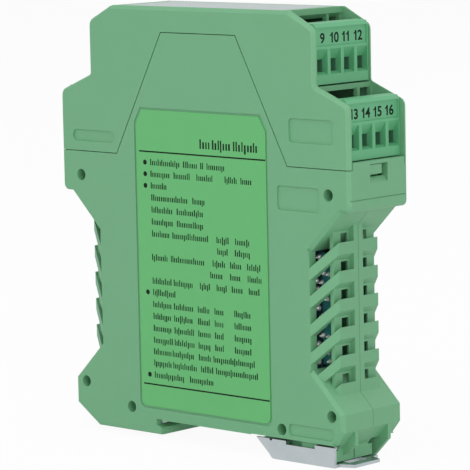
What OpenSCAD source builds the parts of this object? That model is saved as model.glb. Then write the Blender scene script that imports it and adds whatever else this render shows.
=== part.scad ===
// Signal isolator in a rail-mounted housing: X runs across the rail, Y along it, Z away from it.
// The sole of the rail latch lies at Z = 0 and the label side faces -Y.

/* [Housing] */
// Overall length across the rail
housing_l = 99; // [96:0.5:104]
// Thickness along the rail
housing_w = 22.5; // [20:0.5:30]
// Height from the latch sole to the front
housing_h = 112; // [110:0.5:116]
// Side and end wall of the base
wall = 2; // [1.8:0.1:2.2]
// Bevel along the outer edges
edge_bevel = 0.9; // [0.4:0.1:1.1]
// Bevel along the outer edges at the hook end
hook_bevel = 0.45; // [0.3:0.05:0.8]
// Radius of the rounded tier corners
corner_r = 2; // [1:0.25:2.5]
// Parting gap between hood and base
split_gap = 0.2; // [0.1:0.05:0.3]
// Clearance around loose pieces
clearance = 0.3; // [0.2:0.05:0.35]

/* [Hood] */
// Length of the flat top
top_l = 61; // [60.5:0.5:63]
// Length over the upper terminal tier
upper_tier_l = 77.4; // [76.8:0.2:79]
// Drop from the top to the end of the upper tier
upper_tier_drop = 4.2; // [3.6:0.1:5]
// Drop from the top to the step between the tiers
step_drop = 18.4; // [18.2:0.1:18.8]
// Drop from the top to the end of the lower tier
lower_tier_drop = 22.6; // [22.2:0.1:24]
// Drop from the top to the parting line at the ends
split_drop = 38.3; // [38:0.1:39]
// Length between the low corners of the raised base panel
panel_low_l = 58.8; // [56:0.2:62]
// Length between the top corners of the raised base panel
panel_top_l = 25.4; // [20:0.2:30]
// Drop from the top to the upper edge of the raised base panel
panel_drop = 6.6; // [5:0.1:9]
// Side wall of the hood beside the terminals
hood_wall = 1.3; // [1.1:0.1:1.5]
// Thickness of inner walls and floors of the hood
hood_web = 1.3; // [1:0.1:1.5]
// Thickness of the top frame
top_t = 2.6; // [2.4:0.1:3]

/* [Front cover] */
// Length of the cover
cover_l = 55; // [50:0.5:55.5]
// Thickness of the cover
cover_t = 1.5; // [1.2:0.1:1.8]
// Width of the ledge that carries the cover
cover_ledge = 1; // [0.8:0.1:1.5]

/* [Base] */
// Drop from the top to the underside of the upper body
body_drop = 48.75; // [48:0.25:50]
// Flat lip under each end of the upper body
body_lip = 3.15; // [2.5:0.05:4]
// Length over the side plates at the waist
waist_l = 72.4; // [71:0.2:74]
// Length over the foot
foot_l = 93; // [91:0.5:95]
// Height of the top corner of the foot
foot_top = 13.5; // [13:0.1:14.5]
// Height of the rail seat above the sole
seat_h = 5.33; // [5.1:0.01:5.6]
// Height of the lower end of the foot wall at the latch
foot_low = 9.1; // [8.6:0.1:9.4]
// Run of the slanted foot corner at the latch
foot_run = 2.9; // [2.4:0.1:3.4]
// Thickness of the foot floor above the rail
floor_t = 1.8; // [1.6:0.1:2.2]

/* [Rail hook] */
// Place of the hook throat from the middle
throat_x = 17.4; // [17:0.1:17.8]
// Reach of the hook lip under the rail
hook_reach = 1.7; // [1.4:0.1:2]
// Depth of the throat below the seat
throat_d = 1.3; // [1.2:0.1:1.5]
// Height of the hook sole
hook_sole = 1.5; // [1.2:0.1:1.8]
// Height of the outer corner of the hook foot
hook_corner_h = 6.85; // [6:0.05:8]
// Run of the slanted outer side of the hook foot
hook_run = 7.9; // [7:0.1:9]
// Thickness of the contact strip in the throat
strip_t = 0.8; // [0.6:0.1:1]

/* [Louvres] */
// Vertical pitch of the slats
louvre_pitch = 7; // [6.8:0.1:7.2]
// Vertical height of one slat face
slat_h = 3; // [2.6:0.1:3.4]
// Number of slots at each end
louvre_n = 6; // [4:1:6]
// Stand-out of the slats beyond the waist
louvre_out = 6.3; // [5.5:0.1:6.6]
// Half width of the flat louvre front
louvre_flat = 7.3; // [6.8:0.1:7.8]
// Depth of the recess between the slats
recess_d = 1.5; // [1.2:0.1:1.8]
// Width of the middle band of one half
band_w = 1.7; // [1.4:0.1:2]

/* [Terminals] */
// Pole pitch
pole_pitch = 5; // [4.5:0.1:6]
// Depth of a terminal block
block_d = 8.7; // [8.7:0.1:9]
// Height of the block front
block_h = 14.85; // [14.6:0.05:15.1]
// Set-back of the upper block front
upper_inset = 0.4; // [0.2:0.1:0.6]
// Set-back of the lower block front
lower_inset = 1.45; // [1.3:0.05:1.8]
// Width of a wire funnel
funnel_w = 3.9; // [3.6:0.1:4]
// Height of a wire funnel
funnel_h = 6.2; // [5.8:0.1:6.4]
// Height of the wire hole
wire_h = 3.5; // [3:0.1:3.8]
// Height of the number field
number_h = 4.45; // [4:0.05:4.6]
// Diameter of a clamp screw
screw_d = 2.6; // [2.4:0.1:2.8]
// Diameter of a screw head
screw_head_d = 3.7; // [3.4:0.1:3.8]

/* [Label] */
// Length of the label
label_l = 44.8; // [42:0.2:46]
// Height of the label
label_h = 76.9; // [74:0.1:78]
// Drop from the top to the upper edge of the label
label_drop = 26.4; // [25:0.1:28]
// Thickness of the label
label_t = 0.3; // [0.2:0.05:0.4]
// Margin of the label recess
label_margin = 0.6; // [0.4:0.1:0.9]

/* [Pegs] */
// Diameter of the peg holes
peg_hole_d = 3; // [2.8:0.1:3.2]
// Distance between the outer pegs
peg_outer_l = 85.5; // [84.5:0.5:86]
// Distance between the inner foot pegs
peg_inner_l = 52.4; // [50:0.2:54]

/* [Latch] */
// Sheet thickness
sheet_t = 0.8; // [0.7:0.05:0.9]
// Width over the flanges
latch_w = 16.5; // [16:0.1:16.8]
// Place of the flange front corner from the middle
nose_x = 17.5; // [17.3:0.1:17.9]
// Place of the flange rear end from the middle
latch_end_x = 43.4; // [42.8:0.1:44]
// Reach of the pull tab past the flanges
tab_l = 3.6; // [3.2:0.1:4.2]
// Width of the pull tab at its tip
tab_w = 9.5; // [8.5:0.1:10.5]
// Reach of the hook tongue past the flange front
tongue_reach = 1.6; // [1.4:0.1:1.8]
// Travel of the latch when it is pulled
latch_travel = 4; // [3:0.25:4]
// Outer diameter of the return spring
spring_d = 2.8; // [2.6:0.1:3]
// Wire of the return spring
spring_wire = 0.4; // [0.3:0.05:0.5]
// Turns of the return spring
spring_turns = 9; // [6:1:10]

/* [Board] */
// Thickness of the circuit board
board_t = 1.6; // [1.4:0.1:1.8]
// Distance of the board from the near side wall
board_gap = 3.05; // [2.8:0.05:3.4]
// Thickness of a current bar
bar_t = 0.8; // [0.6:0.1:0.9]
// Length and height of the transformer core
core_l = 18; // [15:0.5:20]
// Diameter of a capacitor
cap_d = 8; // [6.3:0.1:8.5]
// Width of an optocoupler
opto_w = 4.6; // [4:0.1:5]
// Length of an optocoupler
opto_l = 6.4; // [5:0.1:7]
// Width of an amplifier chip
chip_w = 4; // [3.5:0.1:4.5]
// Length of an amplifier chip
chip_l = 5; // [4.5:0.1:6]

/* [Hidden] */
$fn = 48;
eps = 0.02;
half_l = housing_l / 2;
half_w = housing_w / 2;
housing_green = "#74AC87";
block_green = "#60AF80";
metal_grey = "#BEC8D0";

// Heights and half lengths of the outline
upper_hl = upper_tier_l / 2;
top_hl = top_l / 2;
upper_corner_z = housing_h - upper_tier_drop;
step_z = housing_h - step_drop;
lower_corner_z = housing_h - lower_tier_drop;
split_z = housing_h - split_drop;
panel_z = housing_h - panel_drop;
panel_low_hl = panel_low_l / 2;
panel_top_hl = panel_top_l / 2;
body_z = housing_h - body_drop;
body_corner_r = 1.5;
waist_hl = waist_l / 2;
neck_run = half_l - body_lip - waist_hl;
waist_top_z = body_z - neck_run;
foot_hl = foot_l / 2;
waist_low_z = foot_top + foot_hl - waist_hl;
floor_z = seat_h + floor_t;
seat_relief = 0.2;
relief_z = seat_h + seat_relief;
slant_wall = wall * sqrt(2);

// Louvre block
louvre_hl = waist_hl + louvre_out;
louvre_gap = louvre_pitch - slat_h;
louvre_skin = 1.1;
louvre_in = louvre_hl - recess_d - louvre_skin;
post_y = louvre_flat + 0.4;
louvre_bite = 0.6;
vent_w = 2.6;
vent_h = 3;
vent_y = 2.3;
vent_lip = 0.35;
vent_grow = 0.5;

// Terminal blocks
block_gap = 0.15;
block_lift = 0.4;
bay_rise = 2.2;
cell_wall = 0.7;
cage_gap = 0.2;
bar_gap = 0.25;
block_hw = half_w - hood_wall - block_gap;
upper_front_x = upper_hl - upper_inset;
lower_front_x = half_l - lower_inset;
upper_block_z = step_z + block_lift;
lower_block_z = split_z + bay_rise;
cell_w = pole_pitch - cell_wall;
poles = floor((2 * block_hw - cell_w) / pole_pitch) + 1;
divider_y = (poles / 2 - 1) * pole_pitch;
funnel_z = 2.4;
wire_rise = 0.3;
head_gap = 0.2;
divider_t = 1;
cheek_t = 0.6;
ridge_h = 0.7;
number_z = funnel_z + funnel_h + ridge_h;
number_d = 0.4;
number_side = 0.5;
front_wall = 3.5;
rear_wall = 0.7;
lip_bevel = [0.65, 0.85];
lip_rise = 0.25;
trough_z = 10.2;
rear_h = 12;
cage_w = cell_w - 2 * cage_gap;
cage_d = 3.8;
cage_z = 2;
cage_h = 6.8;
cage_t = 0.6;
screw_u = rear_wall + clearance + cage_d / 2;
bar_z = cage_z + cage_h - cage_t - bar_gap - bar_t;
bar_w = 2.2;
head_lift = 0.6;
head_h = 1.2;
drive_w = 0.7;
bar_step = 2.5;
bar_reach = 3;
pin_gap = 0.15;
pin_w = 1;
pin_proud = 0.9;

// Board and bosses
board_y = -half_w + wall + board_gap;
board_back = board_y + board_t;
boss_d = 5;
boss_x = 22;
boss_rise = 3.5;
boss_drop = 7.7;
boss_z = [foot_top + boss_rise, split_z - boss_drop];

// Latch
latch_y0 = -half_w;
latch_mid = latch_y0 + latch_w / 2;
flange_h = seat_h - clearance;
lip_w = 1.4;
lip_z = flange_h - sheet_t;
front_lip = [22.8, 27.5];
rear_lip = [37, 42.5];
far_end_x = 38.2;
lead_run = 4.4;
lead_z = 1.1;
lead_corner = 0.8;
web_gap = 2.2;
web_room = 0.7;
block_set = 1;
web_x0 = nose_x + lead_run + web_gap;
block_x0 = web_x0 - web_room + latch_travel;
block_x1 = latch_end_x - block_set;
block_lip_z = seat_h - 1;
head_hw = latch_w / 2 - sheet_t - clearance;
neck_hw = head_hw - lip_w;
guide_y0 = latch_y0 + latch_w + clearance;
guide_t = 1.1;
guide_y1 = guide_y0 + guide_t;
groove_w = spring_d + 2 * clearance;
spring_z = sheet_t + clearance + spring_d / 2;
groove_stop = 3.9;
groove_end = block_x1 - groove_stop;
rail_t = 1;
rail_gap = 0.25;
tongue_z1 = seat_h - rail_t - rail_gap;
tongue_z0 = tongue_z1 - sheet_t;
tongue_w = 9.5;
tab_root = 12.5;
tab_slot = [-1.4, 0.8, 3.3];

// Cover opening
cover_side = 2.1;
cover_w = housing_w - 2 * cover_side;

function unit(v) = v / norm(v);
function mirrored(pts) = [for (i = [len(pts) - 1:-1:0]) [-pts[i][0], pts[i][1]]];

// Points of an arc that rounds the corner b between a and c
function rounded(a, b, c, r, n = 5) =
  let (u = unit(a - b), v = unit(c - b), half = acos(u * v) / 2)
  let (mid = b + unit(u + v) * r / sin(half), p = b + u * r / tan(half), q = b + v * r / tan(half))
  let (a0 = atan2(p[1] - mid[1], p[0] - mid[0]), a1 = atan2(q[1] - mid[1], q[0] - mid[0]))
  let (turn = (a1 - a0 + 540) % 360 - 180)
  [for (i = [0:n]) mid + r * [cos(a0 + turn * i / n), sin(a0 + turn * i / n)]];

// Outline in XZ drawn out along Y
module slab(y0, y1, pts) {
  translate([0, y1, 0]) rotate([90, 0, 0]) linear_extrude(y1 - y0) polygon(pts);
}

module box(x0, x1, y0, y1, z0, z1) {
  translate([x0, y0, z0]) cube([x1 - x0, y1 - y0, z1 - z0]);
}

module rod_y(x, z, y0, y1, d) {
  translate([x, y1, z]) rotate([90, 0, 0]) cylinder(d = d, h = y1 - y0);
}

// Wedge that bevels one outer edge of a side face, from a to b in XZ, on the side s
module edge_wedge(a, b, leg, s) {
  d = b - a;
  m = 1;
  translate([a[0], s * half_w, a[1]]) rotate([0, -atan2(d[1], d[0]), 0]) rotate([90, 0, 90])
    linear_extrude(norm(d)) polygon([[-s * (leg + m), -m], [s * m, leg + m], [s * m, -m]]);
}

// Length by which a wedge runs on at the point i: freely where a counter-clockwise outline turns outwards,
// and up to the mitre where it turns inwards
function run_on(pts, i, leg) =
  i <= 0 || i >= len(pts) - 1 ? 0 :
  let (u = unit(pts[i] - pts[i - 1]), v = unit(pts[i + 1] - pts[i]))
  u[0] * v[1] - u[1] * v[0] > 0 ? 0.5 : leg * tan(acos(min(u * v, 1)) / 2) + 0.03;

// Bevels along an open path; neighbours differ a little, so that no four planes meet in one point
module path_bevel(pts, s) {
  uneven = 0.03;
  for (i = [0:len(pts) - 2]) {
    dir = unit(pts[i + 1] - pts[i]);
    leg = (pts[i][0] + pts[i + 1][0] < -top_hl ? hook_bevel : edge_bevel) + uneven * (i % 2);
    edge_wedge(pts[i] - dir * run_on(pts, i, leg), pts[i + 1] + dir * run_on(pts, i + 1, leg), leg, s);
  }
}

// Outline of the base
inner_r = 1;
lip_x = half_l - body_lip;
body_edge = concat(
  [[waist_hl, waist_top_z]],
  rounded([waist_hl, waist_top_z], [lip_x, body_z], [half_l, body_z], inner_r, 3),
  rounded([lip_x, body_z], [half_l, body_z], [half_l, split_z], body_corner_r),
  [[half_l, split_z]]
);
foot_edge = [
  [foot_hl - foot_run, relief_z], [foot_hl, foot_low], [foot_hl, foot_top], [waist_hl, waist_low_z]
];
base_right = concat(foot_edge, body_edge);
base_upper_left = concat(mirrored(body_edge), [[-waist_hl, waist_low_z]]);
hook_tip_x = hook_reach - throat_x;
seat_hl = min(throat_x - hook_reach, nose_x - tongue_reach) - clearance;
hook_lead = 0.7;
hook_foot = [
  [-foot_hl, foot_top], [-foot_hl, hook_corner_h], [hook_run - foot_hl, hook_sole], [hook_tip_x, hook_sole]
];
base_left = concat(base_upper_left, hook_foot);
hook_throat = [
  [hook_tip_x, seat_h - throat_d - hook_lead], [-throat_x, seat_h - throat_d], [-throat_x, relief_z],
  [-seat_hl, relief_z], [-seat_hl, seat_h], [seat_hl, seat_h], [seat_hl, relief_z]
];
panel_edge = [
  [panel_low_hl, split_z], [panel_top_hl, panel_z], [-panel_top_hl, panel_z], [-panel_low_hl, split_z]
];
base_outline = concat(base_right, panel_edge, base_left, hook_throat);

// Outer edges of the side face that are bevelled
bevel_paths = [foot_edge, body_edge, mirrored(body_edge), concat([[-waist_hl, waist_low_z]], hook_foot)];

// Outline of the hood
hood_low_z = split_z + split_gap;
step_corner = [upper_hl, step_z + 0.25];
hood_right = concat(
  [[half_l, hood_low_z]],
  rounded([half_l, hood_low_z], [half_l, lower_corner_z], step_corner, corner_r),
  rounded([half_l, lower_corner_z], step_corner, [upper_hl, upper_corner_z], inner_r, 3),
  rounded(step_corner, [upper_hl, upper_corner_z], [top_hl, housing_h], corner_r),
  [[top_hl, housing_h]]
);
hood_path = concat(hood_right, mirrored(hood_right));
panel_gap = split_gap / sin(atan2(panel_z - split_z, panel_low_hl - panel_top_hl));
hood_outline = concat(hood_path, [
  [-panel_low_hl - panel_gap, hood_low_z], [-panel_top_hl - panel_gap, panel_z + split_gap],
  [panel_top_hl + panel_gap, panel_z + split_gap], [panel_low_hl + panel_gap, hood_low_z]
]);

// Height of the slot plane k of the louvres at x
function slot_z(x, k) = waist_top_z + x - waist_hl - k * louvre_pitch;
function slot_band(x0, x1, k) =
  let (top = k == 0 ? louvre_bite * 2 : 0, low = -louvre_gap)
  [
    [x0, slot_z(x0, k) + top], [x0, slot_z(x0, k) + low],
    [x1, slot_z(x1, k) + low], [x1, slot_z(x1, k) + top]
  ];

// One louvred end, for the half on -Y, rooted in the side plate and in the slopes above and below
module louvre_end() {
  root = wall / 2;
  low = waist_low_z - louvre_bite;
  top = waist_top_z + louvre_bite;
  difference() {
    intersection() {
      translate([0, 0, foot_top]) linear_extrude(body_z - foot_top) polygon([
        [waist_hl - root, root - half_w], [waist_hl, -half_w], [louvre_hl, -louvre_flat], [louvre_hl, 0],
        [louvre_in, 0], [louvre_in, -louvre_flat], [waist_hl - root, wall - half_w]
      ]);
      slab(-half_w - 1, 1, [
        [waist_hl - root, low], [waist_hl, low], [louvre_hl, low - louvre_out],
        [louvre_hl, top + louvre_out], [waist_hl, top], [waist_hl - root, top]
      ]);
    }
    for (k = [0:louvre_n - 1]) louvre_cut(k);
  }
}

// Through slot beside the post, recess and vent window of slot k
module louvre_cut(k) {
  floor_x = louvre_hl - recess_d;
  vent_top = slot_z(floor_x, k) - (louvre_gap - vent_h) / 2;
  slab(-half_w - 1, -post_y, slot_band(waist_hl, louvre_hl + 1, k));
  slab(-half_w - 1, 0.5 - louvre_flat, slot_band(waist_hl, louvre_in, k));
  slab(-post_y - 1, -band_w, slot_band(floor_x, louvre_hl + 1, k));
  box(louvre_in - 1, floor_x + 1, -vent_y - vent_w, -vent_y, vent_top - vent_h, vent_top);
  box(louvre_in - 1, floor_x - vent_lip, -vent_y - vent_w - vent_grow, vent_grow - vent_y,
    vent_top - vent_h - vent_grow, vent_top + vent_grow);
}

// End wall and slope above the waist, on the right
upper_rim = concat(
  body_edge,
  [[half_l - wall, split_z], [half_l - wall, body_z + wall]],
  [[waist_hl + body_z + wall - slant_wall - waist_top_z, body_z + wall]],
  [[waist_hl, waist_top_z + slant_wall]]
);

// Closed rim of the foot from the left slope round to the right slope
foot_rim = concat(
  [[-waist_hl, waist_low_z]], hook_foot, hook_throat,
  [[foot_hl - foot_run, relief_z], [foot_hl, foot_low], [foot_hl, foot_top], [waist_hl, waist_low_z]],
  [[waist_hl, waist_low_z - slant_wall], [foot_hl - wall, foot_top + wall - slant_wall]],
  [[foot_hl - wall, foot_low + 1], [foot_hl - foot_run - wall, floor_z], [-throat_x - wall, floor_z]],
  [[-throat_x - wall, hook_sole + wall], [hook_run - foot_hl + 1, hook_sole + wall]],
  [[wall - foot_hl, hook_corner_h + 1], [wall - foot_hl, foot_top + wall - slant_wall]],
  [[-waist_hl, waist_low_z - slant_wall]]
);

// Tongue of the end wall that stands inside the hood, with the snap window
tongue_top = lower_block_z - 0.3;
snap_y = [-3.3, 2.8];
snap_slit = 1.4;
snap_ramp = [1.2, 1.5];
groove_d = 0.25;
groove_z = body_z + 2.98;
snap_low = split_z - 2.2;
snap_top = tongue_top - 0.85;

module snap_window() {
  box(half_l - wall - 1, half_l + 1, snap_y[0], snap_y[1], snap_low, snap_top);
  slab(snap_y[0], snap_y[1], [
    [half_l, snap_low - snap_ramp[1]], [half_l + 1, snap_low - snap_ramp[1]], [half_l + 1, snap_low + 1],
    [half_l - snap_ramp[0], snap_low + 1], [half_l - snap_ramp[0], snap_low]
  ]);
}

// Guide block for the latch, with spring groove and stop lugs, before it is split on the middle plane
module foot_block() {
  difference() {
    union() {
      translate([0, latch_mid, 0]) {
        box(block_x0, block_x1, -head_hw, head_hw, sheet_t + clearance, lip_z - clearance);
        slab(-neck_hw, neck_hw, [
          [block_x0, lip_z - clearance - 1], [block_x1, lip_z - clearance - 1], [block_x1, block_lip_z],
          [block_x1 + 1.4, block_lip_z + 1.5], [block_x1, seat_h + 1], [block_x0, seat_h + 1]
        ]);
      }
      stop_x0 = front_lip[1] + latch_travel + clearance;
      for (s = [-1, 1]) translate([0, latch_mid + s * (neck_hw + lip_w / 2), 0])
        box(stop_x0, rear_lip[0] - 0.1, -lip_w / 2 - eps, lip_w / 2 - 0.1, lip_z - clearance, seat_h + 1);
    }
    translate([0, latch_mid, 0])
      box(block_x0 - 1, groove_end, -groove_w / 2, groove_w / 2, 0, spring_z + groove_w / 2);
    box(block_x1 - 1.5, block_x1 + 2, latch_mid + 0.2, latch_mid + 0.55, 0, seat_h - 1.8);
  }
}

// Plastic guide wall on the far side of the latch
module far_guide() {
  low = 0.5;
  slab(guide_y0, guide_y1, [
    [nose_x + 1, seat_h + 1], [nose_x + 1, seat_h], [nose_x + 4.5, low], [block_x1 - 0.6, low],
    [foot_hl, seat_h], [foot_hl, foot_low + 0.5], [foot_hl - 1, foot_low + 0.5], [block_x1, seat_h + 1]
  ]);
}

// Gusset between the guide block and the foot wall
module foot_rib() {
  y = latch_mid - 3.8;
  slab(y, y + guide_t, [
    [block_x1 - 0.5, seat_h - 3.2], [foot_hl - 0.05, seat_h - 0.1], [foot_hl - 0.05, foot_low + 0.1],
    [foot_hl - 1, foot_low + 0.1], [block_x1 - 0.5, seat_h + 0.7]
  ]);
}

peg_spots = [
  for (s = [-1, 1]) each [
    [s * peg_outer_l / 2, body_z + 4.25], [s * peg_outer_l / 2, foot_top - 0.7],
    [s * peg_inner_l / 2, seat_h + 2.45]
  ]
];
peg_wall = 0.8;
peg_boss_d = peg_hole_d + 2 * peg_wall;
peg_sink = 3.2;
peg_play = 0.2;

// Everything that both half shells share, for the half on -Y
module shell_half() {
  difference() {
    union() {
      slab(-half_w, wall - half_w, base_outline);
      for (s = [0, 1]) mirror([s, 0, 0]) {
        slab(-half_w, 0, upper_rim);
        box(half_l - wall, half_l, hood_wall + 0.25 - half_w, 0, split_z - 1, tongue_top);
      }
      slab(-half_w, 0, foot_rim);
      for (p = peg_spots) rod_y(p[0], p[1], wall / 2 - half_w, 0, peg_boss_d);
    }
    for (path = bevel_paths) path_bevel(path, -1);
    for (s = [0, 1]) mirror([s, 0, 0]) {
      snap_window();
      box(half_l - groove_d, half_l + 1, -half_w - 1, 1, groove_z, groove_z + groove_d);
    }
    box(-throat_x - strip_t - 0.1, clearance - throat_x, wall - half_w, 1, seat_h - throat_d, floor_z + 3);
  }
  for (s = [0, 1]) mirror([s, 0, 0]) louvre_end();
}

// Rounded rectangle in XZ, sunk into the near face
module face_recess(field, r) {
  x0 = field[0];
  x1 = field[1];
  z0 = field[2];
  z1 = field[3];
  translate([0, face_mark_d - half_w, 0]) rotate([90, 0, 0]) linear_extrude(face_mark_d + 1) {
    translate([x0 + r, z0]) square([x1 - x0 - 2 * r, z1 - z0]);
    translate([x0, z0 + r]) square([x1 - x0, z1 - z0 - 2 * r]);
    for (x = [x0 + r, x1 - r], z = [z0 + r, z1 - r]) translate([x, z]) circle(r);
  }
}

function label_points(m) =
  let (hx = label_l / 2 + m, z1 = housing_h - label_drop + m, z0 = housing_h - label_drop - label_h - m)
  let (cut_x = 2.2, cut_z = 3.8, r = 1.7)
  concat(
    [[cut_x - hx, z1], [-hx, z1 - cut_z]],
    rounded([-hx, z1 - cut_z], [-hx, z0], [hx, z0], r),
    rounded([-hx, z0], [hx, z0], [hx, z1 - cut_z], r),
    [[hx, z1 - cut_z], [hx - cut_x, z1]]
  );

// Blank sunk fields of the near face, each as ends in X and heights in Z
face_mark_d = 0.4;
base_field = [26, 39.8, split_z - 10.8, split_z - 4.7];
foot_field = [28.6, 43.2, seat_h + 1.3, seat_h + 4.3];
hood_field = [30.2, 44.5, lower_corner_z - 9.6, lower_corner_z - 3.6];
pill_field = [-45.4, -30.3, split_z + 2.7, split_z + 5.7];

module base_shell_near() {
  color(housing_green) difference() {
    union() {
      shell_half();
      intersection() {
        foot_block();
        box(0, half_l, -half_w, 0, 0, floor_z);
      }
      foot_rib();
      for (x = [-boss_x, boss_x], z = boss_z) rod_y(x, z, wall / 2 - half_w, board_y, boss_d);
    }
    for (p = peg_spots) rod_y(p[0], p[1], -half_w - 1, 1, peg_hole_d);
    slab(-half_w - 1, label_t + 0.05 - half_w, label_points(label_margin));
    face_recess(base_field, 1);
    face_recess(foot_field, 1);
  }
}

module base_shell_far() {
  color(housing_green) {
    mirror([0, 1, 0]) shell_half();
    intersection() {
      foot_block();
      box(0, half_l, 0, half_w, 0, floor_z);
    }
    far_guide();
    for (p = peg_spots) rod_y(p[0], p[1], peg_sink - half_w, wall, peg_hole_d - peg_play);
    for (x = [-boss_x, boss_x], z = boss_z) rod_y(x, z, board_back, half_w - wall / 2, boss_d);
  }
}

// Terminal bays
bay_jamb = 0.65;
bay_open = 13.3;
bay_sill = 8.6;
bay_shift = 0.25;
bay_clear = 0.1;
mullion_t = 0.9;

// Rear wall of a terminal bay: closed behind the block that stands at z, open above it up to the plate,
// with a mullion in the opening
module bay_wall(x, z, plate_z) {
  in_w = half_w - hood_wall / 2;
  open_hw = half_w - hood_wall - bay_jamb;
  mullion = [divider_y - mullion_t, divider_y] + bay_shift * [1, 1];
  open_z = z + bay_open;
  box(x - hood_web, x, -in_w, in_w, z + bay_sill, open_z);
  for (y = [[-in_w, -open_hw], mullion, [open_hw, in_w]])
    box(x - hood_web, x, y[0], y[1], open_z - eps, plate_z);
}

// Walls and floors of the terminal bays at one end of the hood
module hood_bay() {
  in_w = half_w - hood_wall / 2;
  rear_x = upper_front_x - block_d - bay_clear;
  low_rear_x = lower_front_x - block_d - bay_clear;
  bay_wall(rear_x, upper_block_z, housing_h - 1);
  bay_wall(low_rear_x, lower_block_z, step_z - 1);
  box(rear_x - hood_web, upper_hl - bay_clear, -in_w, in_w, step_z - hood_web, step_z);
  floor_top = lower_block_z - block_lift;
  snap_x = half_l - wall - 0.2;
  box(low_rear_x - hood_web, snap_x, -in_w, in_w, floor_top - hood_web, floor_top);
  box(snap_x - hood_web, snap_x, snap_y[0] + 0.4, snap_y[1] - 0.4, snap_low + 0.2, floor_top);
  slab(snap_y[0] + 0.2, snap_y[1] - snap_slit, [
    [snap_x - eps, snap_low + 0.4], [half_l - 0.3, snap_low + 0.7], [half_l - 0.3, snap_top - 0.2],
    [snap_x - eps, snap_top - 0.2]
  ]);
}

// End of the top frame, with a slanted underside
frame_x = top_hl - 0.6;
frame_end = [[frame_x - 1.6, housing_h - top_t], [frame_x, housing_h - 1.5], [frame_x, housing_h]];

module terminal_hood() {
  color(housing_green) difference() {
    union() {
      for (s = [0, 1]) mirror([0, s, 0]) slab(-half_w, hood_wall - half_w, hood_outline);
      slab(-half_w, half_w, concat(frame_end, mirrored(frame_end)));
      for (s = [0, 1]) mirror([s, 0, 0]) hood_bay();
    }
    path_bevel(hood_path, -1);
    path_bevel(hood_path, 1);
    gap = clearance / 2;
    cx = cover_l / 2;
    cy = cover_w / 2;
    box(-cx - gap, cx + gap, -cy - gap, cy + gap, housing_h - cover_t, housing_h + 1);
    box(cover_ledge - cx, cx - cover_ledge, cover_ledge - cy, cy - cover_ledge, panel_z - 1, housing_h);
    face_recess(hood_field, 1);
    face_recess(pill_field, 1.4);
  }
}

module front_cover() {
  groove = 0.3;
  color("#CDD5D5") difference() {
    box(-cover_l / 2, cover_l / 2, -cover_w / 2, cover_w / 2, housing_h - cover_t, housing_h);
    for (s = [-1, 1]) translate([s * (cover_l / 2 - 2), 0, housing_h])
      rotate([0, 45, 0]) cube([groove, cover_w - 4, groove], center = true);
  }
}

module rating_label() {
  color("#64B86C") slab(0.05 - half_w, label_t + 0.05 - half_w, label_points(0));
}

// Places a block: front at x, bottom at z, on the right or mirrored to the left
module at_bay(upper, left) {
  x = upper ? upper_front_x : lower_front_x;
  z = upper ? upper_block_z : lower_block_z;
  mirror([left ? 1 : 0, 0, 0]) translate([x - block_d, 0, z]) children();
}

module each_pole() {
  for (k = [0:poles - 1]) translate([0, (k - (poles - 1) / 2) * pole_pitch, 0]) children();
}

// Terminal block: the origin is the lower rear edge, X points to the wire side
module terminal_block() {
  in_x = block_d - front_wall;
  color(block_green) difference() {
    union() {
      slab(-block_hw, block_hw, [
        [0, 0], [block_d, 0], [block_d, block_h - lip_bevel[1]], [block_d - lip_bevel[0], block_h],
        [in_x, block_h + lip_rise], [in_x, trough_z], [rear_wall, trough_z], [rear_wall, rear_h], [0, rear_h]
      ]);
      box(rear_wall - eps, in_x + eps, divider_y - divider_t / 2, divider_y + divider_t / 2,
        trough_z - eps, block_h - divider_t);
      for (s = [0, 1]) mirror([0, s, 0]) box(0, in_x, block_hw - cheek_t, block_hw, 0, rear_h);
    }
    box(block_d - number_d, block_d + 1, number_side - block_hw, block_hw - number_side,
      number_z, number_z + number_h);
    each_pole() pole_cut();
  }
}

// Wire funnel, clamp cell, screw well and bar slot of one pole
module pole_cut() {
  cell_x1 = rear_wall + cage_d + 2 * clearance;
  slab(-funnel_w / 2, funnel_w / 2, [
    [block_d + 1, funnel_z], [block_d + 1, funnel_z + funnel_h], [block_d, funnel_z + funnel_h],
    [cell_x1 - eps, funnel_z + wire_h], [cell_x1 - eps, funnel_z + wire_rise], [block_d, funnel_z]
  ]);
  box(rear_wall, cell_x1, -cell_w / 2, cell_w / 2, cage_z - clearance, cage_z + cage_h + clearance);
  translate([screw_u, 0, cage_z + cage_h]) cylinder(d = screw_head_d + 2 * head_gap, h = block_h);
  slot_hw = bar_w / 2 + pin_gap;
  box(-1, rear_wall + 1, -slot_hw, slot_hw, bar_z - pin_gap, bar_z + bar_t + pin_gap);
}

module clamp_screws() {
  color(metal_grey) each_pole() translate([screw_u, 0, 0]) difference() {
    head_z = cage_z + cage_h + head_lift;
    union() {
      translate([0, 0, bar_z + bar_t + 0.1]) cylinder(d = screw_d, h = head_z - bar_z - bar_t);
      translate([0, 0, head_z]) cylinder(d = screw_head_d, h = head_h);
    }
    translate([0, 0, head_z + head_h]) cube([screw_head_d + 1, drive_w, head_h], center = true);
  }
}

module cage_clamps() {
  color(metal_grey) each_pole() translate([rear_wall + clearance, 0, cage_z]) difference() {
    translate([0, -cage_w / 2, 0]) cube([cage_d, cage_w, cage_h]);
    translate([-1, cage_t - cage_w / 2, cage_t])
      cube([cage_d + 2, cage_w - 2 * cage_t, cage_h - 2 * cage_t]);
    translate([cage_d / 2, 0, cage_h - 1]) cylinder(d = screw_d + 0.3, h = 2);
  }
}

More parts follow.
